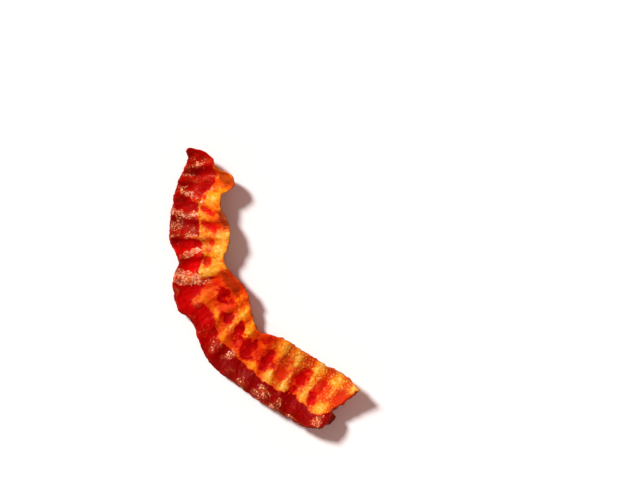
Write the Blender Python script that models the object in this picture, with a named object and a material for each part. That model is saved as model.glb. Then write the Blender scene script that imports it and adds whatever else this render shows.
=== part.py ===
"""One strip of fried streaky bacon, curled and rippled as it comes out of the pan.

The strip lies on its underside, with its narrow end towards +Y, the open side of its bend
towards +X and +Z up. The origin is under the middle of its box, on the surface that it rests on.

Every size below is in millimetres. `along` is the distance down the middle line of the strip
from its narrow end, and `across` runs from 0 on the outer, lean edge of the bend to 1 on the
inner, fatty edge.
"""

import math

import bmesh
import bpy
import numpy as np

MM = 0.001  # one millimetre in Blender's metres

# Middle line: a straight run, one bend to the left, and a straight run to the far end.
STRIP_LENGTH = 165.0
FIRST_RUN = 42.7
BEND_RADIUS = 82.0
BEND_ANGLE = math.radians(60.5)

# Reach of each edge from the middle line, as (along, reach).
OUTER_EDGE = (
    (0, 7.2), (5, 5.9), (11, 8.4), (20, 12.2), (34, 14.5), (45, 15.3), (54, 11.7),
    (64, 17.0), (74, 18.3), (81, 14.6), (100, 18.6), (116, 16.5), (148, 16.3), (155, 14.6),
    (162, 9.8),
)
INNER_EDGE = (
    (0, 0.6), (5, 6.6), (10, 8.9), (14, 16.6), (18, 17.7), (21, 15.6), (23.5, 11.4),
    (28, 10.9), (41, 15.8), (47, 15.3), (59, 11.4), (70, 15.2), (80, 17.3), (92, 14.3),
    (103, 10.8), (112, 14.7), (122, 16.9), (147, 16.0), (153, 16.8), (165, 14.0),
)
# How far each end's line stands off the middle line's own end, as (across, distance).
NARROW_END = ((0, 1.4), (0.12, 0.2), (0.3, -0.2), (1, 1.0))
FAR_END = ((0, -7.0), (0.1, -3.8), (0.22, -3.0), (0.34, -5.8), (0.5, -3.8), (0.8, -0.9), (1, 0.6))

# Crests of the ripples that frying leaves, on the lean side and on the fatty side.
LEAN_CRESTS = (8.5, 15.5, 23.5, 32.5, 43, 52, 63.5, 75.5, 87.5, 99, 108, 117, 125, 133, 143.5, 155)
FAT_CRESTS = (7.5, 16, 26, 36, 44, 53, 62.5, 74, 82.5, 91, 100, 111, 121.5, 132.5, 143.5, 154.5)
CREST_SPACING = 10.6  # beyond the first and last crest
CREST_SHARPNESS = 0.12  # how much of a second, shorter wave makes crests narrower than troughs

# Half the height of a ripple, as (along, half height).
LEAN_RIPPLE = ((0, 0.5), (20, 0.6), (50, 0.85), (66, 0.8), (80, 0.3), (110, 0.22), (130, 0.3), (165, 0.4))
FAT_RIPPLE = ((0, 0.5), (30, 0.45), (60, 0.5), (72, 0.3), (92, 0.5), (110, 0.4), (127, 0.3), (165, 0.36))
RIPPLE_UNEVENNESS = 0.35  # share by which one ripple is higher or lower than the next

# Slow rise of the whole strip off the surface, and the curl of its two edges.
RISE = ((0, 7.6), (8, 3.2), (16, 0), (40, 0.9), (60, 0), (80, 0.5), (98, 0), (122, 0.8), (138, 0),
        (148, 2.4), (156, 6.4), (161, 8.2), (165, 8.8))
OUTER_CURL = ((0, 1.5), (20, 2.2), (50, 2.6), (72, 3.4), (100, 2.2), (120, 3.2), (136, 5.6),
              (148, 5.2), (157, 2.6), (165, 1.8))
INNER_CURL = ((0, 1.0), (10, 4.8), (17, 9.0), (25, 9.0), (34, 8.2), (42, 8.6), (58, 7.4), (74, 8.4),
              (92, 6.0), (104, 5.0), (122, 5.8), (145, 5.0), (155, 2.6), (165, 1.4))
OUTER_CURL_STARTS = 0.38
INNER_CURL_STARTS = 0.54
# How far the outer corner of the far end bends back down, as (across, distance).
TIP_DROOP = ((0, 2.8), (0.26, 2.8), (0.42, 0))
TIP_DROOP_STARTS = 156.5
TIP_DROOP_LENGTH = 5.5

LEAN_THICKNESS = 2.3
FAT_THICKNESS = 1.9
RIM_THICKNESS = 0.8
RIM_ROUNDING = 1.6  # width of the rounding along every edge
STEEPEST_THICKENING = 1.6
PRESSED_FLAT = 0.45  # how far the lowest troughs are squashed by the surface under them

ROWS_ALONG = 120
ROWS_ACROSS = 13
SLOPE_STEP = 0.2  # distance over which a slope is measured


def flow(stations, at):
    """Reads a smooth curve through (place, value) stations that never overshoots them."""
    place, value = np.array(stations, float).T
    slope = np.diff(value) / np.diff(place)
    before, after = slope[:-1], slope[1:]
    same_way = before * after > 0
    total = np.where(same_way, before + after, 1.0)
    middle = np.where(same_way, 2 * before * after / total, 0.0)
    tangent = np.concatenate([slope[:1], middle, slope[-1:]])
    at = np.clip(at, place[0], place[-1])
    piece = np.clip(np.searchsorted(place, at, side="right") - 1, 0, len(slope) - 1)
    width = place[piece + 1] - place[piece]
    t = (at - place[piece]) / width
    return (
        value[piece] * (1 + 2 * t) * (1 - t) ** 2
        + tangent[piece] * width * t * (1 - t) ** 2
        + value[piece + 1] * t * t * (3 - 2 * t)
        - tangent[piece + 1] * width * t * t * (1 - t)
    )


def middle_line(along):
    """Position and heading of the middle line. It sets out towards -Y."""
    bend_length = BEND_RADIUS * BEND_ANGLE
    turned = np.clip((along - FIRST_RUN) / BEND_RADIUS, 0, BEND_ANGLE)
    last_run = np.maximum(along - FIRST_RUN - bend_length, 0)
    heading = turned - math.pi / 2
    x = BEND_RADIUS * (1 - np.cos(turned)) + last_run * np.cos(heading)
    y = -np.minimum(along, FIRST_RUN) - BEND_RADIUS * np.sin(turned) + last_run * np.sin(heading)
    return x, y, heading


def crest_count(crests, along):
    """How many ripples have passed, so that every crest falls on a whole number."""
    first, last = crests[0] - CREST_SPACING, crests[-1] + CREST_SPACING
    return np.interp(along, (first, *crests, last), np.arange(-1, len(crests) + 1))


def ripple(along, across):
    """Height of the ripples, whose crests run aslant where the two sides are out of step."""
    lean_side = crest_count(LEAN_CRESTS, along)
    fat_side = crest_count(FAT_CRESTS, along)
    turn = 2 * math.pi * (lean_side + (fat_side - lean_side) * across)
    wave = np.cos(turn) + CREST_SHARPNESS * np.cos(2 * turn)
    half_height = (1 - across) * flow(LEAN_RIPPLE, along) + across * flow(FAT_RIPPLE, along)
    uneven = np.sin(along / 9.7 + 5.3 * across) * np.cos(along / 23 - 3.1 * across)
    return half_height * (1 + RIPPLE_UNEVENNESS * uneven) * (1 - CREST_SHARPNESS + wave)


def sheet_height(along, across):
    """Height of the strip's underside above the surface, before it is pressed flat there."""
    outer = np.clip(1 - across / OUTER_CURL_STARTS, 0, 1) ** 2 * flow(OUTER_CURL, along)
    inner = np.clip((across - INNER_CURL_STARTS) / (1 - INNER_CURL_STARTS), 0, 1) ** 1.7
    inner = inner * flow(INNER_CURL, along)
    droop = np.clip((along - TIP_DROOP_STARTS) / TIP_DROOP_LENGTH, 0, 1) ** 2 * flow(TIP_DROOP, across)
    return flow(RISE, along) + outer + inner - droop + ripple(along, across) - PRESSED_FLAT


def place_on_strip(u, across):
    """Distance along the strip and the sideways offset of a point of the blank."""
    start = flow(NARROW_END, across)
    end = STRIP_LENGTH + flow(FAR_END, across)
    along = start + u * (end - start)
    outer = flow(OUTER_EDGE, along)
    inner = flow(INNER_EDGE, along)
    return along, across * (outer + inner) - outer, outer + inner


def wall_thickness(u, across, along, width):
    """Thickness of the strip: thick in the lean, thinner in the fat, rounded off at the rim."""
    body = LEAN_THICKNESS + (FAT_THICKNESS - LEAN_THICKNESS) * across
    to_side = np.minimum(across, 1 - across) * width
    to_end = np.minimum(u, 1 - u) * STRIP_LENGTH
    inside = np.clip(np.minimum(to_side, to_end) / RIM_ROUNDING, 0, 1)
    rim = RIM_THICKNESS + (body - RIM_THICKNESS) * np.sqrt(1 - (1 - inside) ** 2)
    steep_along = sheet_height(along + SLOPE_STEP, across) - sheet_height(along, across)
    steep_across = sheet_height(along, across + SLOPE_STEP / width) - sheet_height(along, across)
    slope = np.hypot(steep_along, steep_across) / SLOPE_STEP
    return rim * np.minimum(np.hypot(1, slope), STEEPEST_THICKENING)


def lay_out(u, across, top):
    """Takes points of the flat blank to their places on the curled strip."""
    along, offset, width = place_on_strip(u, across)
    x, y, heading = middle_line(along)
    x = x - offset * np.sin(heading)
    y = y + offset * np.cos(heading)
    under = sheet_height(along, across)
    thickness = wall_thickness(u, across, along, width)
    rim_lift = (LEAN_THICKNESS - thickness).clip(0) / 2
    z = np.where(top, under + rim_lift + thickness, (under + rim_lift).clip(0))
    return np.stack([x, y, z], axis=-1)


def bacon_blank():
    """A flat slab one unit square, its rows closer together towards the two long edges."""
    blank = bmesh.new()
    bmesh.ops.create_grid(blank, x_segments=ROWS_ALONG, y_segments=ROWS_ACROSS, size=0.5)
    bmesh.ops.translate(blank, vec=(0.5, 0.5, 0), verts=blank.verts)
    for vert in blank.verts:
        vert.co.y = 0.5 - 0.5 * math.cos(math.pi * vert.co.y)
    bmesh.ops.solidify(blank, geom=blank.faces[:], thickness=1.0)
    return blank


def fried_bacon_finish():
    finish = bpy.data.materials.new("fried_bacon")
    finish.use_nodes = True
    shader = finish.node_tree.nodes["Principled BSDF"]
    shader.inputs["Base Color"].default_value = (0.50, 0.06, 0.01, 1)
    shader.inputs["Roughness"].default_value = 0.3
    shader.inputs["Metallic"].default_value = 0.0
    return finish


def make_bacon_strip():
    strip = bacon_blank()
    blank = np.array([vert.co for vert in strip.verts])
    points = lay_out(blank[:, 0], blank[:, 1].clip(0, 1), blank[:, 2] > -0.5)
    low, high = points.min(axis=0), points.max(axis=0)
    points -= ((low[0] + high[0]) / 2, (low[1] + high[1]) / 2, low[2])
    for vert, point in zip(strip.verts, points * MM):
        vert.co = point
    bmesh.ops.triangulate(strip, faces=strip.faces[:])
    bmesh.ops.recalc_face_normals(strip, faces=strip.faces[:])
    mesh = bpy.data.meshes.new("bacon_strip")
    strip.to_mesh(mesh)
    strip.free()
    mesh.shade_smooth()
    mesh.set_sharp_from_angle(angle=math.radians(60))
    mesh.materials.append(fried_bacon_finish())
    bpy.context.collection.objects.link(bpy.data.objects.new("bacon_strip", mesh))


for leftover in list(bpy.data.objects):
    bpy.data.objects.remove(leftover)
make_bacon_strip()
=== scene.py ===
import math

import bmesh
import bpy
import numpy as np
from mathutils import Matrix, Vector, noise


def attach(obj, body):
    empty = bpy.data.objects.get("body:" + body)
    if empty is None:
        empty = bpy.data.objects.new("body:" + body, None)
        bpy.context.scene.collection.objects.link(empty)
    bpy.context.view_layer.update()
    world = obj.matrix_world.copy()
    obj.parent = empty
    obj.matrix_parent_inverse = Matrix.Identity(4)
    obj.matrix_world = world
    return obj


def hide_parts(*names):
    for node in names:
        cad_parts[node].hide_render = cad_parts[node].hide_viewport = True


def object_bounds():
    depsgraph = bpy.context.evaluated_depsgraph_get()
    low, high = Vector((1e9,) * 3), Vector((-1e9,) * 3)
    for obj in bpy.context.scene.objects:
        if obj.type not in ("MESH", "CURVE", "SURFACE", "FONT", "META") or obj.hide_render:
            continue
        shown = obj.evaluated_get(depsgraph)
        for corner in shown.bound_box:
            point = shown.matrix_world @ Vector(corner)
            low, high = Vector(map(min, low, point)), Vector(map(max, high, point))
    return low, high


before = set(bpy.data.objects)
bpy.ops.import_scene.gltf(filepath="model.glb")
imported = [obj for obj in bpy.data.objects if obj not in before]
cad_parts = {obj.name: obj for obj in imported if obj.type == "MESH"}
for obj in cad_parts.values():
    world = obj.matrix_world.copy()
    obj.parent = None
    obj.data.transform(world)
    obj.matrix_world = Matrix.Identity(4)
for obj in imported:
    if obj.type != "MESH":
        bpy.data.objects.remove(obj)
cad_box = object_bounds()

# Looks of one strip of fried streaky bacon.
#
# Sizes are in millimetres. `along` is the distance down the middle line of the strip from its
# narrow end, and `across` runs from 0 on the outer, lean edge of the bend to 1 on the inner,
# fatty edge. Both are the same as in the solid that this piece stands for.

MM = 0.001  # one millimetre in Blender's metres

# ---------------------------------------------------------------- the strip's shape

# Middle line: a straight run, one bend to the left, and a straight run to the far end.
STRIP_LENGTH = 165.0
FIRST_RUN = 42.7
BEND_RADIUS = 82.0
BEND_ANGLE = math.radians(60.5)

# Reach of each edge from the middle line, as (along, reach).
OUTER_EDGE = (
    (0, 7.2), (5, 5.9), (11, 8.4), (20, 12.2), (34, 14.5), (45, 15.3), (54, 11.7),
    (64, 17.0), (74, 18.3), (81, 14.6), (100, 18.6), (116, 16.5), (148, 16.3), (155, 14.6),
    (162, 9.8),
)
INNER_EDGE = (
    (0, 0.6), (5, 6.6), (10, 8.9), (14, 16.6), (18, 17.7), (21, 15.6), (23.5, 11.4),
    (28, 10.9), (41, 15.8), (47, 15.3), (59, 11.4), (70, 15.2), (80, 17.3), (92, 14.3),
    (103, 10.8), (112, 14.7), (122, 16.9), (147, 16.0), (153, 16.8), (165, 14.0),
)
# How far each end's line stands off the middle line's own end, as (across, distance).
NARROW_END = ((0, 1.4), (0.12, 0.2), (0.3, -0.2), (1, 1.0))
FAR_END = ((0, -7.0), (0.1, -3.8), (0.22, -3.0), (0.34, -5.8), (0.5, -3.8), (0.8, -0.9), (1, 0.6))

# Crests of the ripples that frying leaves, on the lean side and on the fatty side, and half the
# height of a ripple, as (along, half height).
LEAN_CRESTS = (8.5, 15.5, 23.5, 32.5, 43, 52, 63.5, 75.5, 87.5, 99, 108, 117, 125, 133, 143.5, 155)
FAT_CRESTS = (7.5, 16, 26, 36, 44, 53, 62.5, 74, 82.5, 91, 100, 111, 121.5, 132.5, 143.5, 154.5)
CREST_SPACING = 10.6  # beyond the first and last crest
CREST_SHARPNESS = 0.12  # how much of a second, shorter wave makes crests narrower than troughs
LEAN_RIPPLE = ((0, 0.5), (20, 0.6), (50, 0.85), (66, 0.8), (80, 0.3), (110, 0.22), (130, 0.3),
               (165, 0.4))
FAT_RIPPLE = ((0, 0.5), (30, 0.45), (60, 0.5), (72, 0.3), (92, 0.5), (110, 0.4), (127, 0.3),
              (165, 0.36))
RIPPLE_UNEVENNESS = 0.35  # share by which one ripple is higher or lower than the next

# Slow rise of the whole strip off the surface, and the curl of its two edges.
RISE = ((0, 7.6), (8, 3.2), (16, 0), (40, 0.9), (60, 0), (80, 0.5), (98, 0), (122, 0.8), (138, 0),
        (148, 2.4), (156, 6.4), (161, 8.2), (165, 8.8))
OUTER_CURL = ((0, 1.5), (20, 2.2), (50, 2.6), (72, 3.4), (100, 2.2), (120, 3.2), (136, 5.6),
              (148, 5.2), (157, 2.6), (165, 1.8))
INNER_CURL = ((0, 1.0), (10, 4.8), (17, 9.0), (25, 9.0), (34, 8.2), (42, 8.6), (58, 7.4), (74, 8.4),
              (92, 6.0), (104, 5.0), (122, 5.8), (145, 5.0), (155, 2.6), (165, 1.4))
OUTER_CURL_STARTS = 0.38
INNER_CURL_STARTS = 0.54
# How far the outer corner of the far end bends back down, as (across, distance).
TIP_DROOP = ((0, 2.8), (0.26, 2.8), (0.42, 0))
TIP_DROOP_STARTS = 156.5
TIP_DROOP_LENGTH = 5.5

LEAN_THICKNESS = 2.3
FAT_THICKNESS = 1.9
RIM_THICKNESS = 0.35  # finer than the solid's own rim
RIM_ROUNDING = 1.6  # width of the rounding along every edge
STEEPEST_THICKENING = 1.6
PRESSED_FLAT = 0.45  # how far the lowest troughs are squashed by the surface under them
SLOPE_STEP = 0.2  # distance over which a slope is measured

# The blank is a fine grid, bent into shape point by point.
ROWS_ALONG = 460
ROWS_ACROSS = 96
EDGE_CROWDING = 0.35  # how far the rows across are drawn towards the two long edges

# ---------------------------------------------------------------- where lean and fat lie

# The lean band reaches from the outer edge to this share of the width, as (along, across).
LEAN_BAND = (
    (0, 1.15), (7, 1.05), (10, 0.88), (13, 0.7), (20, 0.6), (25, 0.55), (34, 0.5), (44, 0.47),
    (48, 0.52), (56, 0.5), (60, 0.47), (66, 0.5), (71, 0.42), (75, 0.33), (84, 0.36),
    (95, 0.33), (102, 0.43), (110, 0.34), (118, 0.3), (126, 0.26), (137, 0.33), (150, 0.24),
    (160, 0.31),
)
# Width of the pale seam of fat beside it, as (along, share of the width).
SEAM = ((18, 0.02), (35, 0.08), (60, 0.09), (75, 0.13), (96, 0.11), (105, 0.06), (112, 0.13),
        (126, 0.2), (137, 0.09), (150, 0.2), (165, 0.12))

# Patches, as (along, across, half length, half width as a share, slant, strength).
# Streaks of lean in the fat.
LEAN_STREAKS = (
    (24.2, 0.62, 1.3, 0.04, 8.0, 0.4),
    (31.4, 0.70, 1.5, 0.10, 14.0, 0.62),
    (38.8, 0.68, 1.9, 0.10, 8.0, 0.66),
    (40.4, 0.74, 2.0, 0.03, 8.0, 0.5),
    (46.8, 0.69, 2.2, 0.04, -10.0, 0.42),
    (51.4, 0.62, 1.3, 0.05, 6.0, 0.32),
    (56.8, 0.62, 2.2, 0.07, 12.0, 0.5),
    (65.8, 0.60, 0.7, 0.12, 2.0, 0.75),
    (69.0, 0.68, 1.6, 0.06, 0.0, 0.5),
    (75.6, 0.69, 2.6, 0.08, -4.0, 1.3),
    (78.6, 0.60, 2.0, 0.06, 6.0, 1.1),
    (81.6, 0.70, 1.6, 0.05, 0.0, 0.7),
    (88.2, 0.57, 2.0, 0.09, 6.0, 1.3),
    (85.0, 0.50, 1.3, 0.05, 0.0, 0.6),
    (96.8, 0.69, 2.2, 0.10, -10.0, 1.1),
    (101.6, 0.60, 2.0, 0.10, 0.0, 0.5),
    (99.8, 0.56, 1.5, 0.05, 0.0, 0.7),
    (106.0, 0.62, 3.5, 0.16, -6.0, 1.0),
    (110.4, 0.48, 1.6, 0.06, 0.0, 0.7),
    (111.0, 0.87, 2.2, 0.09, 8.0, 0.6),
    (112.4, 0.62, 1.8, 0.10, 0.0, 0.42),
    (117.4, 0.57, 2.7, 0.15, -4.0, 1.0),
    (122.6, 0.55, 1.5, 0.04, 0.0, 0.6),
    (127.4, 0.54, 2.6, 0.10, 0.0, 0.4),
    (134.6, 0.58, 1.0, 0.08, 0.0, 0.5),
    (137.6, 0.62, 2.4, 0.12, 8.0, 1.0),
    (136.8, 0.43, 1.5, 0.06, 0.0, 0.75),
    (147.0, 0.46, 1.7, 0.11, -4.0, 0.95),
    (148.4, 0.68, 1.3, 0.13, 3.0, 0.6),
    (158.6, 0.62, 1.4, 0.12, 6.0, 0.35),
)
# Fingers of fat that reach into the lean band.
FAT_FINGERS = (
    (25.6, 0.47, 1.6, 0.07, 0.0, 0.7),
    (34.5, 0.46, 1.2, 0.05, 6.0, 0.6),
    (53.4, 0.46, 1.0, 0.05, 0.0, 0.6),
    (44.4, 0.42, 1.0, 0.10, 0.0, 0.8),
    (63.6, 0.34, 1.7, 0.24, 11.0, 0.8),
    (73.4, 0.33, 1.7, 0.11, -6.0, 0.8),
    (93.5, 0.33, 1.6, 0.04, 0.0, 0.45),
)
# Pale, blistered fat and dark, glassy fat.
PALE_FAT = (
    (26.0, 0.78, 3.6, 0.10, 0.0, 1.0),
    (19.0, 0.74, 1.4, 0.06, 0.0, 0.8),
    (46.5, 0.89, 4.0, 0.12, 0.0, 1.0),
    (55.0, 0.82, 5.0, 0.13, 0.0, 1.0),
    (62.5, 0.66, 2.4, 0.18, 0.0, 0.9),
    (82.0, 0.41, 3.4, 0.05, 0.0, 0.6),
    (91.0, 0.70, 2.4, 0.18, -6.0, 0.9),
    (100.5, 0.80, 3.6, 0.08, 0.0, 0.8),
    (112.0, 0.39, 3.6, 0.05, 0.0, 0.5),
    (121.5, 0.41, 2.4, 0.06, 0.0, 0.5),
    (128.0, 0.35, 4.2, 0.07, 0.0, 0.5),
    (124.5, 0.88, 5.0, 0.07, 0.0, 0.6),
    (132.6, 0.84, 2.0, 0.09, 6.0, 0.65),
    (132.6, 0.52, 1.5, 0.08, 8.0, 0.6),
    (143.5, 0.50, 2.2, 0.07, 0.0, 0.9),
    (143.6, 0.86, 2.4, 0.10, 0.0, 0.9),
    (122.8, 0.44, 1.0, 0.05, 0.0, 0.8),
    (143.5, 0.68, 1.6, 0.14, 0.0, 0.7),
    (151.8, 0.33, 3.0, 0.06, 0.0, 0.6),
    (156.0, 0.84, 5.0, 0.10, 0.0, 0.9),
    (162.8, 0.88, 2.6, 0.11, 0.0, 1.0),
    (155.0, 0.67, 1.8, 0.06, 0.0, 0.6),
)
AMBER_FAT = (
    (15.5, 0.84, 3.4, 0.14, 0.0, 0.45),
    (36.5, 0.86, 4.4, 0.09, 2.0, 0.7),
    (72.5, 0.89, 8.0, 0.13, 0.0, 1.0),
    (109.5, 0.88, 4.6, 0.11, 0.0, 0.9),
    (137.6, 0.87, 2.6, 0.11, 0.0, 0.7),
    (150.0, 0.90, 2.6, 0.06, 0.0, 0.6),
    (83.5, 0.62, 3.0, 0.12, 0.0, 0.6),
)
# Parts that the pan has browned, and painted shade on the curled-over far tip of the lean.
BROWNED_EDGE_AND_TIP_SHADE = (
    (36.0, 1.0, 5.0, 0.16, 0.0, 1.0),
    (18.0, 1.0, 5.0, 0.10, 0.0, 0.7),
    (15.5, 0.86, 3.2, 0.13, 0.0, 0.8),
    (72.5, 0.87, 7.0, 0.09, 0.0, 0.8),
    (69.0, 1.0, 8.0, 0.08, 0.0, 0.7),
    (150.0, 1.0, 9.0, 0.07, 0.0, 0.6),
    (128.0, 1.0, 12.0, 0.05, 0.0, 0.5),
    # Far tip of the lean: partly browning, partly painted shade where the tip curls over away from
    # the light.
    (161.0, 0.14, 1.7, 0.2, 0.0, 1.1),
    (136.0, 0.08, 13.0, 0.014, 0.0, 0.9),
    (2.0, 0.5, 3.0, 0.6, 0.0, 0.45),
    (37.0, 0.12, 4.0, 0.14, 0.0, 0.5),
    (120.0, 0.0, 22.0, 0.08, 0.0, 0.7),
)
# How bright the lean is, as (along, share).
LEAN_GLOW = (
    (0, 0.42), (12, 0.5), (28, 0.42), (38, 0.28), (48, 0.55), (57, 0.85), (64, 0.65), (78, 0.52),
    (90, 0.5), (102, 0.05), (120, -0.15), (132, -0.1), (146, -0.1), (156, -0.2), (165, -0.3),
)
# How bright the streaks of lean in the fat are, as (along, share).
STREAK_GLOW = (
    (30, 0.7), (60, 0.5), (70, 0.36), (95, 0.42), (108, 0.42), (120, 0.42), (132, 0.6), (160, 0.5),
)
# How much paler or darker the fat is than its usual tone, as (along, share).
FAT_TONE = (
    (0, 0.0), (60, 0.0), (74, -0.12), (84, -0.12), (96, -0.1), (112, -0.1), (120, -0.06),
    (140, -0.1), (150, -0.13), (165, -0.17),
)
# Patches of pale, gritty crust on the lean, partly painted glints: they lie on the ripple crests
# where the light catches them.
CRUST_AND_GLINTS = (
    (2.5, 0.30, 1.0, 0.12, 0.0, 0.35),
    (8.4, 0.42, 1.3, 0.22, -3.0, 0.8),
    (9.8, 0.14, 1.4, 0.10, 0.0, 0.62),
    (12.6, 0.16, 1.4, 0.12, 4.0, 0.5),
    (16.4, 0.24, 1.2, 0.14, 6.0, 0.42),
    (19.6, 0.12, 1.0, 0.10, 5.0, 0.55),
    (22.4, 0.26, 1.4, 0.2, 10.0, 0.62),
    (26.0, 0.10, 1.2, 0.08, 0.0, 0.4),
    (32.2, 0.13, 1.5, 0.13, 8.0, 0.8),
    (33.6, 0.36, 1.4, 0.15, -12.0, 1.0),
    (35.6, 0.16, 1.4, 0.10, 0.0, 0.6),
    (38.5, 0.10, 2.6, 0.10, 0.0, 0.62),
    (43.4, 0.12, 1.1, 0.12, 0.0, 0.5),
    (43.8, 0.36, 1.0, 0.12, -9.0, 0.7),
    (52.2, 0.24, 1.4, 0.22, -8.0, 0.95),
    (56.0, 0.06, 1.2, 0.06, 0.0, 0.4),
    (62.3, 0.20, 2.6, 0.28, 11.0, 1.5),
    (67.0, 0.05, 2.0, 0.05, 0.0, 0.5),
    (75.6, 0.30, 2.2, 0.08, 0.0, 0.4),
    (80.0, 0.05, 2.6, 0.05, 0.0, 0.35),
    (88.5, 0.20, 2.6, 0.13, 9.0, 0.34),
    (95.0, 0.20, 2.6, 0.15, 6.0, 0.42),
    (102.8, 0.33, 1.8, 0.10, 6.0, 0.6),
    (109.0, 0.12, 2.2, 0.08, 0.0, 0.35),
    (114.5, 0.05, 3.0, 0.05, 0.0, 0.5),
    (124.5, 0.13, 3.6, 0.10, 0.0, 0.58),
    (133.5, 0.11, 2.2, 0.07, 0.0, 0.55),
    (132.0, 0.03, 6.0, 0.03, 0.0, 0.6),
    (143.0, 0.035, 6.0, 0.02, 0.0, 0.5),
    (154.6, 0.12, 2.4, 0.11, 0.0, 0.6),
)
# How thickly grains of crust are scattered over the rest of the lean, as (along, share).
SCATTER = (
    (0, 0.1), (5, 0.52), (18, 0.5), (30, 0.42), (36, 0.54), (44, 0.46), (52, 0.25), (68, 0.05),
    (82, 0.15), (90, 0.4), (106, 0.3), (114, 0.42), (132, 0.4), (146, 0.2), (165, 0.2),
)
# How gritty the fat's surface is, from smooth and glassy to full of fine blisters.
FAT_GRIT = (
    (0, 0.4), (13, 0.15), (20, 0.5), (34, 0.65), (50, 0.65), (62, 0.85), (68, 0.15), (80, 0.15),
    (86, 0.6), (95, 0.6), (105, 0.3), (112, 0.5), (124, 0.9), (140, 1.0), (165, 1.0),
)

# Stretches along the strip over which a look sets in or dies away, as (absent, full).
SEAM_GRIT_STARTS = (17, 24)
SEAM_GRIT_ENDS = (66, 60)
FAT_RIPPLES_STAND_OUT = (60, 66)
SEAM_TURNS_GLASSY = (62, 68)
STREAKS_CROWD = (64, 70)
FAT_TURNS_BLOTCHED = (112, 124)
FAR_END_RISES = (138, 150)

# The same across the strip, as shares of its width.
TORN_LEAN_STARTS = (0.32, 0.42)
TORN_LEAN_ENDS = (0.97, 0.9)
STREAKED_FAT_STARTS = (0.40, 0.50)
STREAKED_FAT_ENDS = (0.84, 0.70)
INNER_FAT_STARTS = (0.74, 0.82)

# The same, as shares of the width beyond the edge of the lean band, or of the seam beside it.
BAND_BLUR = (0.025, -0.025)
SEAM_BLUR = (0.03, -0.02)
CRUST_BLUR = (0.06, -0.02)
SEAM_GRIT_BLUR = (0.15, 0.03)

# The same, in millimetres inside the outline.
RELIEF_STARTS = (0, 1.2)
UNDERSIDE_RELIEF_STARTS = (0, 2)

# The same, by how gritty the surface is.
GRIT_SHINES = (0.25, 0.9)

LIT_FLANK_LEAD = 0.8  # how far before its crest a ripple catches the light, in radians
UNDERSIDE_SHIFT = 40.0  # sets the fine colour pattern of the underside apart from the top's

# Noises by name, as (size of the lumps, shift of the pattern, strength). A size is one number,
# or one for each of along, sideways and through.
NOISES = {
    "outline": (3.2, 11.0, 0.55),
    "fine outline": (1.3, 5.0, 0.35),
    "torn end": (2.4, 23.0, 0.9),
    "patch outline": (2.6, 31.0, 0.5),
    "fine patch outline": ((0.9, 1.2, 1.0), 37.0, 0.35),
    "band edge": (3.0, 41.0, 0.045),
    "fine band edge": (1.1, 43.0, 0.02),
    "fat tone": (2.2, 47.0, 0.26),
    "far fat tone": ((2.4, 3.4, 1.0), 49.0, 0.42),
    "lean glow": (5.0, 53.0, 0.2),
    "streak glow": (3.0, 59.0, 0.25),
    "blistering": ((2.5, 3.5, 1.0), 61.0, 0.25),
    "browning": (2.0, 67.0, 0.6),
    "coarse relief": ((2.6, 4.5, 1.0), 71.0, 0.30),
    "small relief": (1.5, 73.0, 0.16),
    "fibres": ((0.9, 3.0, 1.0), 79.0, 0.12),
    "slanted pits": ((1.1, 1.6, 1.0), 83.0, 0.18),
    "pits": (0.8, 89.0, 0.22),
    "scattered crust": ((3.5, 3.0, 1.0), 97.0, 0.3),
}
FIBRE_SLANT = np.array([[1.0, 0.25, 0], [0.25, 1.0, 0], [0, 0, 1.0]])
BUBBLE_SIZE = 1.9
BUBBLE_SHIFT = 3.0
BUBBLE_HEIGHT = 0.25
STREAK_DEPTH = 0.15  # how far the streaks of lean lie below the fat around them

# The wavy outline: how far in its waves are felt, and how far it is pulled inwards on the whole.
EDGE_WANDER_DEPTH = 2.5
EDGE_PULL = 0.1
END_WANDER_DEPTH = 2.0
END_PULL = 0.15
TORN_LEAN_DEPTH = 0.9  # width of the line of lean along the torn far end

# Browning along the rim of each side, as (strength, width).
OUTER_BROWNING = (1.7, 1.4)
INNER_BROWNING = (1.35, 0.7)


def flow(stations, at):
    """Reads a smooth curve through (place, value) stations that never overshoots them."""
    place, value = np.array(stations, float).T
    slope = np.diff(value) / np.diff(place)
    before, after = slope[:-1], slope[1:]
    same_way = before * after > 0
    total = np.where(same_way, before + after, 1.0)
    middle = np.where(same_way, 2 * before * after / total, 0.0)
    tangent = np.concatenate([slope[:1], middle, slope[-1:]])
    at = np.clip(at, place[0], place[-1])
    piece = np.clip(np.searchsorted(place, at, side="right") - 1, 0, len(slope) - 1)
    width = place[piece + 1] - place[piece]
    t = (at - place[piece]) / width
    return (
        value[piece] * (1 + 2 * t) * (1 - t) ** 2
        + tangent[piece] * width * t * (1 - t) ** 2
        + value[piece + 1] * t * t * (3 - 2 * t)
        - tangent[piece + 1] * width * t * t * (1 - t)
    )


def middle_line(along):
    """Position and heading of the middle line. It sets out towards -Y."""
    bend_length = BEND_RADIUS * BEND_ANGLE
    turned = np.clip((along - FIRST_RUN) / BEND_RADIUS, 0, BEND_ANGLE)
    last_run = np.maximum(along - FIRST_RUN - bend_length, 0)
    heading = turned - math.pi / 2
    x = BEND_RADIUS * (1 - np.cos(turned)) + last_run * np.cos(heading)
    y = -np.minimum(along, FIRST_RUN) - BEND_RADIUS * np.sin(turned) + last_run * np.sin(heading)
    return x, y, heading


def crest_count(crests, along):
    """How many ripples have passed, so that every crest falls on a whole number."""
    first, last = crests[0] - CREST_SPACING, crests[-1] + CREST_SPACING
    return np.interp(along, (first, *crests, last), np.arange(-1, len(crests) + 1))


def ripple_turn(along, across):
    """Phase of the ripples, whose crests run aslant where the two sides are out of step."""
    lean_side = crest_count(LEAN_CRESTS, along)
    fat_side = crest_count(FAT_CRESTS, along)
    return 2 * math.pi * (lean_side + (fat_side - lean_side) * across)


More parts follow.
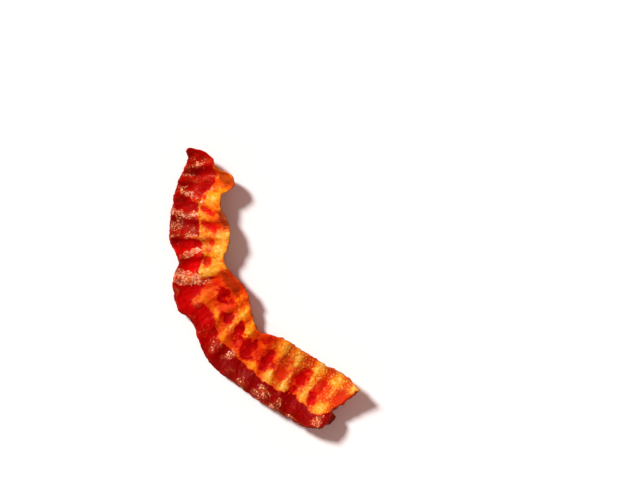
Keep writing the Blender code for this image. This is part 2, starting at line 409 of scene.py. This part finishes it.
def ripple(along, across):
    """Height of the ripples."""
    turn = ripple_turn(along, across)
    wave = np.cos(turn) + CREST_SHARPNESS * np.cos(2 * turn)
    half_height = (1 - across) * flow(LEAN_RIPPLE, along) + across * flow(FAT_RIPPLE, along)
    uneven = np.sin(along / 9.7 + 5.3 * across) * np.cos(along / 23 - 3.1 * across)
    return half_height * (1 + RIPPLE_UNEVENNESS * uneven) * (1 - CREST_SHARPNESS + wave)


def sheet_height(along, across):
    """Height of the strip's underside above the surface, before it is pressed flat there."""
    outer = np.clip(1 - across / OUTER_CURL_STARTS, 0, 1) ** 2 * flow(OUTER_CURL, along)
    inner = np.clip((across - INNER_CURL_STARTS) / (1 - INNER_CURL_STARTS), 0, 1) ** 1.7
    inner = inner * flow(INNER_CURL, along)
    drooping = np.clip((along - TIP_DROOP_STARTS) / TIP_DROOP_LENGTH, 0, 1) ** 2
    droop = drooping * flow(TIP_DROOP, across)
    return flow(RISE, along) + outer + inner - droop + ripple(along, across) - PRESSED_FLAT


def wall_thickness(inside, across, along, width):
    """Thickness of the strip: thick in the lean, thinner in the fat, rounded off at the rim."""
    body = LEAN_THICKNESS + (FAT_THICKNESS - LEAN_THICKNESS) * across
    rounding = np.clip(inside / RIM_ROUNDING, 0, 1)
    rim = RIM_THICKNESS + (body - RIM_THICKNESS) * np.sqrt(1 - (1 - rounding) ** 2)
    steep_along = sheet_height(along + SLOPE_STEP, across) - sheet_height(along, across)
    steep_across = sheet_height(along, across + SLOPE_STEP / width) - sheet_height(along, across)
    slope = np.hypot(steep_along, steep_across) / SLOPE_STEP
    return rim * np.minimum(np.hypot(1, slope), STEEPEST_THICKENING)


# ---------------------------------------------------------------- uneven nature


def grain(name, place):
    """The named smooth noise, from about minus its strength to plus its strength."""
    size, shift, strength = NOISES[name]
    scaled = place / np.array(size, float) + shift
    return strength * np.array([noise.noise(Vector(point)) for point in scaled])


def blisters(place):
    """Rounded domes that touch one another, from 0 in the creases to 1 on top."""
    scaled = place / BUBBLE_SIZE + BUBBLE_SHIFT
    nearest = np.array([noise.voronoi(Vector(point))[0][0] for point in scaled])
    return 1 - np.clip(nearest, 0, 1) ** 2


def fade(low, high, value):
    """Goes smoothly from 0 at `low` to 1 at `high`, whichever of the two is larger."""
    t = np.clip((value - low) / (high - low), 0, 1)
    return t * t * (3 - 2 * t)


def patches(listed, along, across, ragged):
    """The strongest of the listed patches at each point, with ragged outlines."""
    found = np.zeros_like(along)
    for at, side, half_length, half_width, slant, strength in listed:
        reach = np.hypot(
            (along - at - slant * (across - side)) / half_length,
            (across - side) / half_width,
        )
        found = np.maximum(found, strength * fade(1.75, 0.6, reach + ragged))
    return found


# ---------------------------------------------------------------- the strip


def fine_blank():
    """A flat, finely divided slab one unit square."""
    blank = bmesh.new()
    bmesh.ops.create_grid(blank, x_segments=ROWS_ALONG, y_segments=ROWS_ACROSS, size=0.5)
    bmesh.ops.translate(blank, vec=(0.5, 0.5, 0), verts=blank.verts)
    bmesh.ops.solidify(blank, geom=blank.faces[:], thickness=1.0)
    bmesh.ops.recalc_face_normals(blank, faces=blank.faces[:])
    mesh = bpy.data.meshes.new("bacon_strip_fried")
    blank.to_mesh(mesh)
    blank.free()
    return mesh


class StripPoints:
    """All points of the blank at once: their places on the strip, and what is there."""

    def __init__(self, mesh):
        blank = np.zeros(len(mesh.vertices) * 3)
        mesh.vertices.foreach_get("co", blank)
        u, v, layer = blank.reshape(-1, 3).T
        u, v = u.clip(0, 1), v.clip(0, 1)
        crowded = 0.5 - 0.5 * np.cos(math.pi * v)
        self.u = u
        self.across = (1 - EDGE_CROWDING) * v + EDGE_CROWDING * crowded
        self.top = layer > -0.5

        start = flow(NARROW_END, self.across)
        end = STRIP_LENGTH + flow(FAR_END, self.across)
        self.along = start + u * (end - start)
        outer_reach = flow(OUTER_EDGE, self.along)
        self.width = outer_reach + flow(INNER_EDGE, self.along)
        self.offset = self.across * self.width - outer_reach
        to_side = np.minimum(self.across, 1 - self.across) * self.width
        self.to_end = np.minimum(u, 1 - u) * STRIP_LENGTH
        self.inside = np.minimum(to_side, self.to_end)

        through = np.where(self.top, 0.0, UNDERSIDE_SHIFT)
        self.place = np.stack([self.along, self.offset, through], axis=-1)
        # The same for both faces, so that the wall stays whole.
        self.flat_place = self.place * (1, 1, 0)
        self.ragged = self.grain("patch outline") + self.grain("fine patch outline")
        turn = ripple_turn(self.along, self.across)
        # How much each point lies on the flank of a ripple that faces the light; used to paint
        # light and shade into the fat's tone and glints into the crust.
        self.lit_flank = 0.5 + 0.5 * np.cos(turn + LIT_FLANK_LEAD)
        self.blotched = self.by_length(FAT_TURNS_BLOTCHED)
        self.lay_lean()
        self.tone_fat()
        self.light_lean()
        self.fry_surface()

    def grain(self, name):
        return grain(name, self.flat_place)

    def by_length(self, stretch):
        """How much of a look there is, by the place along the strip."""
        return fade(*stretch, self.along)

    def by_width(self, stretch):
        """How much of a look there is, by the place across the strip."""
        return fade(*stretch, self.across)

    def patches(self, listed, raggedness=1.0):
        return patches(listed, self.along, self.across, raggedness * self.ragged)

    def lay_lean(self):
        """The band of lean, the streaks of lean in the fat, and the pale seam between them."""
        band_edge = flow(LEAN_BAND, self.along) + self.grain("band edge")
        band_edge = band_edge + self.grain("fine band edge")
        self.past_band = self.across - band_edge
        self.in_band = fade(*BAND_BLUR, self.past_band) * (1 - self.patches(FAT_FINGERS))
        torn_lean = np.exp(-(1 - self.u) * STRIP_LENGTH / TORN_LEAN_DEPTH)
        torn_lean = torn_lean * self.by_width(TORN_LEAN_STARTS) * self.by_width(TORN_LEAN_ENDS)
        self.streaks = np.maximum(self.patches(LEAN_STREAKS, 1.3), 0.9 * torn_lean)
        self.lean = np.maximum(self.in_band, self.streaks)
        in_seam = fade(*SEAM_BLUR, self.past_band - flow(SEAM, self.along))
        self.in_seam = in_seam * (1 - self.in_band)
        gritty_seam = fade(*SEAM_GRIT_BLUR, self.past_band)
        gritty_seam = gritty_seam * self.by_length(SEAM_GRIT_STARTS)
        self.gritty_seam = gritty_seam * self.by_length(SEAM_GRIT_ENDS)

    def tone_fat(self):
        """How pale the fat is, with painted light and shade: paler and more golden on the flank of
        each ripple that faces the light, deeper orange on the flank that faces away.
        """
        shaded = self.blotched * (1 - self.lit_flank)
        uneven = self.grain("fat tone") + self.blotched * self.grain("far fat tone")
        uneven = uneven * (1 - 0.5 * self.in_seam) * (1 - 0.6 * shaded)
        # Painted light and shade: paler on the lit flank of each ripple, deeper in tone on the
        # shaded flank.
        painted_flank_light = 0.2 + 0.14 * self.by_length(FAT_RIPPLES_STAND_OUT) + 0.02 * self.blotched
        paleness_and_flank_light = 0.36 + painted_flank_light * (self.lit_flank - 0.5) + uneven + 0.02 * self.in_seam
        paleness_and_flank_light = paleness_and_flank_light + 0.1 * self.by_width(INNER_FAT_STARTS) + flow(FAT_TONE, self.along)
        # Pale spots are real pale fat, dimmed on the shaded flanks as painted shade.
        self.pale_spots = self.patches(PALE_FAT) * (1 - 0.7 * shaded)
        paleness_and_flank_light = paleness_and_flank_light + (0.3 + 0.16 * self.blotched) * self.pale_spots
        paleness_and_flank_light = paleness_and_flank_light - 0.6 * self.patches(AMBER_FAT)
        streaked = self.by_width(STREAKED_FAT_STARTS) * self.by_width(STREAKED_FAT_ENDS)
        streaked = streaked * self.by_length(STREAKS_CROWD)
        paleness_and_flank_light = paleness_and_flank_light - (0.2 + 0.04 * self.blotched) * streaked
        # Painted light: the far seam is paler on the lit flank of each ripple.
        far_seam_flank_light = (0.22 * self.lit_flank - 0.02) * self.in_seam * self.blotched
        self.paleness_and_flank_light = paleness_and_flank_light + 0.12 * self.gritty_seam + far_seam_flank_light

    def light_lean(self):
        """How bright the red of the lean is."""
        band_glow = flow(LEAN_GLOW, self.along) + self.grain("lean glow")
        streak_glow = flow(STREAK_GLOW, self.along) + self.grain("streak glow")
        self.glow = np.where(self.in_band > 0.5, band_glow, streak_glow)

    def fry_surface(self):
        """Where frying has left pale crust, grit, gloss and browned rims; the crust is partly
        painted glints on the lit flanks of the ripples, and the browning partly painted shade on
        the far tip of the lean.
        """
        near_band = fade(*CRUST_BLUR, self.past_band)
        blistered = self.grain("blistering")
        # Painted glints: crust heaped on the flank of each ripple that faces the light, and the
        # scattered grains thicker there too.
        crust_and_glints = 1.25 * self.patches(CRUST_AND_GLINTS, 1.5) + (0.12 * self.lit_flank + blistered) * near_band
        scattered = flow(SCATTER, self.along) * (0.7 + 0.3 * self.lit_flank)
        scattered = scattered + self.grain("scattered crust")
        self.crust_and_glints = np.maximum(crust_and_glints, scattered * near_band)

        glassy = 0.75 * self.in_seam * self.by_length(SEAM_TURNS_GLASSY) * (1 - 0.8 * self.blotched)
        fat_grit = 0.8 * flow(FAT_GRIT, self.along) + 0.3 * self.pale_spots + 0.7 * self.gritty_seam
        fat_grit = fat_grit * (1 - glassy) * (1 - self.streaks.clip(0, 1))
        fat_grit = np.maximum(fat_grit + blistered, self.crust_and_glints)
        self.grit = np.where(self.in_band > 0.5, self.crust_and_glints, fat_grit)

        glossy = fade(*GRIT_SHINES, self.grit) * (1 - 0.8 * self.by_length(FAR_END_RISES))
        self.gloss = 0.03 + 0.45 * glossy * np.where(self.in_band > 0.5, 0.8, 1.0)

        on_outer_side = self.across[:, None] < 0.5
        strength, width = np.where(on_outer_side, OUTER_BROWNING, INNER_BROWNING).T
        rim = strength * np.exp(-self.inside / width) * (0.8 + self.grain("browning"))
        self.browned_and_tip_shade = np.maximum(self.patches(BROWNED_EDGE_AND_TIP_SHADE), rim)

    def plan(self):
        """Where each point lies in plan, with an outline that wanders in and out."""
        wander = self.grain("outline") + self.grain("fine outline")
        outward = np.where(self.across > 0.5, 1.0, -1.0)
        near_rim = np.exp(-self.inside / EDGE_WANDER_DEPTH)
        offset = self.offset + outward * near_rim * (wander - EDGE_PULL)
        endward = np.where(self.u > 0.5, 1.0, -1.0) * np.exp(-self.to_end / END_WANDER_DEPTH)
        push = endward * (self.grain("torn end") - END_PULL)
        x, y, heading = middle_line(self.along)
        x = x - offset * np.sin(heading) + push * np.cos(heading)
        y = y + offset * np.cos(heading) + push * np.sin(heading)
        return x, y

    def height(self):
        """Height of each point, with fibres, bubbles and pits on top of the big ripples."""
        slanted = self.flat_place @ FIBRE_SLANT
        coarse = self.grain("coarse relief") + self.grain("small relief")
        bubbles = BUBBLE_HEIGHT * blisters(self.flat_place)
        pits = self.grit * (self.grain("pits") + grain("slanted pits", slanted))
        relief = coarse + self.lean * grain("fibres", slanted)
        relief = relief + (1 - self.lean) * bubbles * (0.3 + self.grit)
        relief = relief + pits - STREAK_DEPTH * self.streaks
        relief = relief * (0.35 + 0.65 * fade(*RELIEF_STARTS, self.inside))

        under = sheet_height(self.along, self.across)
        thickness = wall_thickness(self.inside, self.across, self.along, self.width)
        rim_lift = (LEAN_THICKNESS - thickness).clip(0) / 2
        underside_relief = 0.4 * coarse * fade(*UNDERSIDE_RELIEF_STARTS, self.inside)
        beneath = (under + rim_lift + underside_relief).clip(0)
        above = np.maximum(under + rim_lift + thickness + relief, beneath + RIM_THICKNESS)
        return np.where(self.top, above, beneath)


def store(mesh, name, values):
    """Keeps a number or a vector for each point of the mesh, where the finish can read it."""
    kind, field = ("FLOAT", "value") if values.ndim == 1 else ("FLOAT_VECTOR", "vector")
    attribute = mesh.attributes.new(name, kind, "POINT")
    attribute.data.foreach_set(field, values.astype(np.float32).ravel())


def make_strip():
    mesh = fine_blank()
    strip_points = StripPoints(mesh)
    x, y = strip_points.plan()
    points = np.stack([x, y, strip_points.height()], axis=-1) * MM
    low, high = points.min(axis=0), points.max(axis=0)
    cad_middle = (cad_box[0] + cad_box[1]) / 2
    points -= ((low[0] + high[0]) / 2 - cad_middle.x, (low[1] + high[1]) / 2 - cad_middle.y, 0)
    mesh.vertices.foreach_set("co", points.ravel())
    mesh.update()
    store(mesh, "strip_place", strip_points.place)
    store(mesh, "lean", strip_points.lean)
    store(mesh, "paleness_and_flank_light", strip_points.paleness_and_flank_light.clip(0, 1))
    store(mesh, "glow", strip_points.glow.clip(0, 1))
    store(mesh, "grit", strip_points.grit.clip(0, 1))
    store(mesh, "crust_and_glints", strip_points.crust_and_glints.clip(0, 1))
    store(mesh, "gloss", strip_points.gloss)
    store(mesh, "browned_and_tip_shade", strip_points.browned_and_tip_shade.clip(0, 1))
    mesh.shade_smooth()
    mesh.materials.append(fried_bacon())
    strip = bpy.data.objects.new("bacon_strip_fried", mesh)
    bpy.context.collection.objects.link(strip)
    return strip


# ---------------------------------------------------------------- the finish


class Finish:
    """A short way to build a node material."""

    def __init__(self, name):
        self.material = bpy.data.materials.new(name)
        self.material.use_nodes = True
        self.nodes = self.material.node_tree.nodes
        self.links = self.material.node_tree.links
        self.shader = self.nodes["Principled BSDF"]

    def join(self, value, socket):
        """Links another node's output to a socket, or sets the socket to a fixed value."""
        if isinstance(value, bpy.types.NodeSocket):
            self.links.new(value, socket)
        else:
            socket.default_value = value

    def attribute(self, name):
        node = self.nodes.new("ShaderNodeAttribute")
        node.attribute_name = name
        return node

    def share(self, name):
        return self.attribute(name).outputs["Fac"]

    def noise(self, place, size, detail=3.0, roughness=0.55):
        node = self.nodes.new("ShaderNodeTexNoise")
        self.join(place, node.inputs["Vector"])
        node.inputs["Scale"].default_value = 1 / size
        node.inputs["Detail"].default_value = detail
        node.inputs["Roughness"].default_value = roughness
        return node.outputs["Fac"]

    def stretched(self, place, scale, turn=0.0):
        node = self.nodes.new("ShaderNodeMapping")
        self.join(place, node.inputs["Vector"])
        node.inputs["Rotation"].default_value = (0, 0, turn)
        node.inputs["Scale"].default_value = scale
        return node.outputs["Vector"]

    def reckon(self, operation, first, second):
        node = self.nodes.new("ShaderNodeMath")
        node.operation = operation
        self.join(first, node.inputs[0])
        self.join(second, node.inputs[1])
        return node.outputs[0]

    def add(self, first, second):
        return self.reckon("ADD", first, second)

    def times(self, first, second):
        return self.reckon("MULTIPLY", first, second)

    def swing(self, value):
        """Noise moved to lie around zero."""
        return self.reckon("SUBTRACT", value, 0.5)

    def ramp(self, value, low, high, to_low=0.0, to_high=1.0):
        """Goes smoothly from `to_low` to `to_high` as the value goes from `low` to `high`."""
        node = self.nodes.new("ShaderNodeMapRange")
        node.interpolation_type = "SMOOTHSTEP"
        self.join(value, node.inputs["Value"])
        self.join(low, node.inputs["From Min"])
        self.join(high, node.inputs["From Max"])
        self.join(to_low, node.inputs["To Min"])
        self.join(to_high, node.inputs["To Max"])
        return node.outputs["Result"]

    def mix(self, share, first, second):
        node = self.nodes.new("ShaderNodeMix")
        node.data_type = "RGBA"
        self.join(share, node.inputs["Factor"])
        self.join(first, node.inputs[6])
        self.join(second, node.inputs[7])
        return node.outputs[2]

    def bump(self, height, distance):
        node = self.nodes.new("ShaderNodeBump")
        node.inputs["Distance"].default_value = distance
        self.join(height, node.inputs["Height"])
        return node.outputs["Normal"]


# Sizes, stretches and turns of the finish's own patterns.
FINE_GRAIN = 1.4
MEDIUM_GRAIN = 2.4
FLECK_SIZE = 0.8
FLECK_STRETCH = (1.0, 0.7, 1.0)
FLECK_TURN = -0.5
CRUMB_SIZE = 0.65
CRUMB_STRETCH = (1.0, 0.6, 1.0)
CRUMB_TURN = 0.6
GREASE_SIZE = 1.1
CRUMB_RELIEF = 0.55
GREASE_RELIEF = 0.8
LIGHT_DEPTH = 3.0  # how deep light goes into the slice before it comes out again
LIGHT_SPREAD = (1.0, 0.3, 0.1)  # red light goes farther than green and blue

DARK_LEAN = (0.25, 0.0004, 0.0002, 1)
BRIGHT_LEAN = (0.66, 0.0008, 0.0003, 1)
RED_ORANGE = (0.64, 0.026, 0.001, 1)
# Pale crust, also the colour of the painted glints.
CRUST_AND_GLINT_TAN = (0.88, 0.47, 0.27, 1)
TOASTED_TONE = (0.70, 0.11, 0.015, 1)
DEEP_AMBER = (0.60, 0.036, 0.001, 1)
ORANGE_FAT = (0.68, 0.100, 0.003, 1)
GOLDEN_FAT = (0.73, 0.26, 0.006, 1)
PALE_FAT_TONE = (0.87, 0.53, 0.10, 1)
BROWNED_AND_TIP_SHADE_TONE = (0.13, 0.006, 0.001, 1)


def fried_bacon():
    finish = Finish("fried_bacon")
    place = finish.attribute("strip_place").outputs["Vector"]
    fine = finish.swing(finish.noise(place, FINE_GRAIN, detail=3.0, roughness=0.6))
    medium = finish.swing(finish.noise(place, MEDIUM_GRAIN, detail=3.0))
    grit = finish.share("grit")

    # Lean, from dark to bright red, with a red-orange halo where it passes into the fat.
    lean_share = finish.add(finish.share("lean"), finish.times(fine, 0.6))
    halo_share = finish.ramp(lean_share, 0.0, 0.4)
    lean_share = finish.ramp(lean_share, 0.3, 0.75)
    glow = finish.add(finish.share("glow"), finish.times(medium, 0.3))
    lean = finish.mix(finish.ramp(glow, 0.0, 1.0), DARK_LEAN, BRIGHT_LEAN)

    # Fat, from deep amber through orange and gold to pale yellow.
    speckle = finish.times(fine, finish.ramp(grit, 0.0, 1.0, 0.9, 1.5))
    tone = finish.add(finish.share("paleness_and_flank_light"), speckle)
    fat = finish.mix(finish.ramp(tone, 0.0, 0.3), DEEP_AMBER, ORANGE_FAT)
    fat = finish.mix(finish.ramp(tone, 0.3, 0.62), fat, GOLDEN_FAT)
    fat = finish.mix(finish.ramp(tone, 0.66, 1.05), fat, PALE_FAT_TONE)
    # Cream flecks on the gritty fat: partly pale blistered fat, partly painted glints of light.
    fleck_place = finish.stretched(place, FLECK_STRETCH, FLECK_TURN)
    flecks = finish.noise(fleck_place, FLECK_SIZE, detail=3.0, roughness=0.65)
    fleck_bar = finish.ramp(grit, 0.0, 1.0, 0.74, 0.53)
    cream_flecks_and_glints = finish.ramp(flecks, fleck_bar, finish.add(fleck_bar, 0.08))
    fat = finish.mix(finish.times(cream_flecks_and_glints, 0.8), fat, PALE_FAT_TONE)
    colour = finish.mix(lean_share, finish.mix(halo_share, fat, RED_ORANGE), lean)

    # Crumbs of pale crust on the lean, partly painted glints: a few where there is little crust,
    # crowded where much.
    crumb_place = finish.stretched(place, CRUMB_STRETCH, CRUMB_TURN)
    crumbs = finish.noise(crumb_place, CRUMB_SIZE, detail=4.0, roughness=0.7)
    clusters = finish.add(crumbs, finish.times(medium, 0.5))
    crust_and_glints = finish.share("crust_and_glints")
    colour = finish.mix(finish.ramp(crust_and_glints, 0.3, 1.2, 0.0, 0.55), colour, TOASTED_TONE)
    crumb_bar = finish.ramp(crust_and_glints, 0.0, 1.0, 0.76, 0.48)
    crumbs_and_glints = finish.ramp(clusters, crumb_bar, finish.add(crumb_bar, 0.09))
    colour = finish.mix(crumbs_and_glints, colour, CRUST_AND_GLINT_TAN)

    # Browned rims and tips, with painted shade on the curled-over far tip of the lean.
    browned_and_tip_shade = finish.add(finish.share("browned_and_tip_shade"), finish.times(fine, 0.7))
    colour = finish.mix(finish.ramp(browned_and_tip_shade, 0.3, 1.1, 0.0, 0.8), colour, BROWNED_AND_TIP_SHADE_TONE)
    finish.join(colour, finish.shader.inputs["Base Color"])

    # Crumbly where gritty, with a thin and uneven coat of grease, and light let through.
    finish.join(finish.ramp(medium, -0.2, 0.2, 0.42, 0.6), finish.shader.inputs["Roughness"])
    granular = finish.times(crumbs, finish.ramp(grit, 0.0, 1.0, 0.1, 1.0))
    finish.join(finish.bump(granular, CRUMB_RELIEF * MM), finish.shader.inputs["Normal"])
    grease = finish.noise(place, GREASE_SIZE, detail=1.0)
    finish.join(finish.bump(grease, GREASE_RELIEF * MM), finish.shader.inputs["Coat Normal"])
    finish.join(finish.share("gloss"), finish.shader.inputs["Coat Weight"])
    finish.shader.inputs["Subsurface Weight"].default_value = 0.7
    finish.shader.inputs["Subsurface Radius"].default_value = LIGHT_SPREAD
    finish.shader.inputs["Subsurface Scale"].default_value = LIGHT_DEPTH * MM
    finish.shader.inputs["Coat Roughness"].default_value = 0.1
    finish.shader.inputs["Specular IOR Level"].default_value = 0.04
    return finish.material


# ---------------------------------------------------------------- studio

CAMERA_HEIGHT = 0.89
CAMERA_LENS = 100.0
AIM = (0.0276, 0.0239)  # the point that the camera looks straight down on
LIGHT_TRAVEL = (0.73, -0.68)  # level direction in which the light travels
LIGHT_ELEVATION = math.radians(40)
LIGHT_STRENGTH = 4.5
LIGHT_COLOUR = (1.0, 0.995, 0.99)
LIGHT_WIDTH = math.radians(11)
FILL_COLOUR = (1.0, 0.59, 0.53, 1)
FILL_STRENGTH = 0.385
CEILING_STRENGTH = 0.03  # what shiny spots mirror
BACKDROP_COLOUR = (1.0, 1.0, 1.0, 1)
FLOOR_COLOUR = (0.9, 0.9, 0.9, 1)
FLOOR_HALF_SIDE = 3.0


def make_floor():
    plane = bmesh.new()
    bmesh.ops.create_grid(plane, x_segments=1, y_segments=1, size=FLOOR_HALF_SIDE)
    mesh = bpy.data.meshes.new("floor")
    plane.to_mesh(mesh)
    plane.free()
    finish = Finish("pale_floor")
    finish.shader.inputs["Base Color"].default_value = FLOOR_COLOUR
    finish.shader.inputs["Roughness"].default_value = 0.9
    finish.shader.inputs["Specular IOR Level"].default_value = 0.1
    mesh.materials.append(finish.material)
    floor = bpy.data.objects.new("floor", mesh)
    bpy.context.collection.objects.link(floor)


def make_light():
    level = math.cos(LIGHT_ELEVATION)
    travel = Vector((LIGHT_TRAVEL[0] * level, LIGHT_TRAVEL[1] * level, -math.sin(LIGHT_ELEVATION)))
    lamp = bpy.data.lights.new("key_light", "SUN")
    lamp.energy = LIGHT_STRENGTH
    lamp.angle = LIGHT_WIDTH
    lamp.color = LIGHT_COLOUR
    light = bpy.data.objects.new("key_light", lamp)
    light.rotation_euler = (-travel).to_track_quat("Z", "Y").to_euler()
    light.location = -travel
    bpy.context.collection.objects.link(light)


def make_surroundings():
    """A warm fill light, a dark ceiling for mirrored rays, and a white backdrop for the camera."""
    world = bpy.data.worlds.new("studio")
    world.use_nodes = True
    nodes, links = world.node_tree.nodes, world.node_tree.links
    fill = nodes["Background"]
    fill.inputs["Color"].default_value = FILL_COLOUR
    fill.inputs["Strength"].default_value = FILL_STRENGTH
    dark_ceiling = nodes.new("ShaderNodeBackground")
    dark_ceiling.inputs["Strength"].default_value = CEILING_STRENGTH
    backdrop = nodes.new("ShaderNodeBackground")
    backdrop.inputs["Color"].default_value = BACKDROP_COLOUR
    rays = nodes.new("ShaderNodeLightPath")
    mirrored = nodes.new("ShaderNodeMixShader")
    seen = nodes.new("ShaderNodeMixShader")
    links.new(rays.outputs["Is Glossy Ray"], mirrored.inputs["Fac"])
    links.new(fill.outputs[0], mirrored.inputs[1])
    links.new(dark_ceiling.outputs[0], mirrored.inputs[2])
    links.new(rays.outputs["Is Camera Ray"], seen.inputs["Fac"])
    links.new(mirrored.outputs[0], seen.inputs[1])
    links.new(backdrop.outputs[0], seen.inputs[2])
    links.new(seen.outputs[0], nodes["World Output"].inputs["Surface"])
    bpy.context.scene.world = world


def make_camera():
    lens = bpy.data.cameras.new("camera")
    lens.lens = CAMERA_LENS
    lens.sensor_width = 36.0
    camera = bpy.data.objects.new("camera", lens)
    camera.location = (AIM[0], AIM[1], CAMERA_HEIGHT)
    bpy.context.collection.objects.link(camera)
    bpy.context.scene.camera = camera


for leftover in [thing for thing in bpy.data.objects if thing.type in ("LIGHT", "CAMERA")]:
    bpy.data.objects.remove(leftover)
make_camera()
make_light()
make_surroundings()
make_floor()
bpy.context.scene.view_settings.view_transform = "Standard"

strip = make_strip()
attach(strip, "root")
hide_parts("bacon_strip")
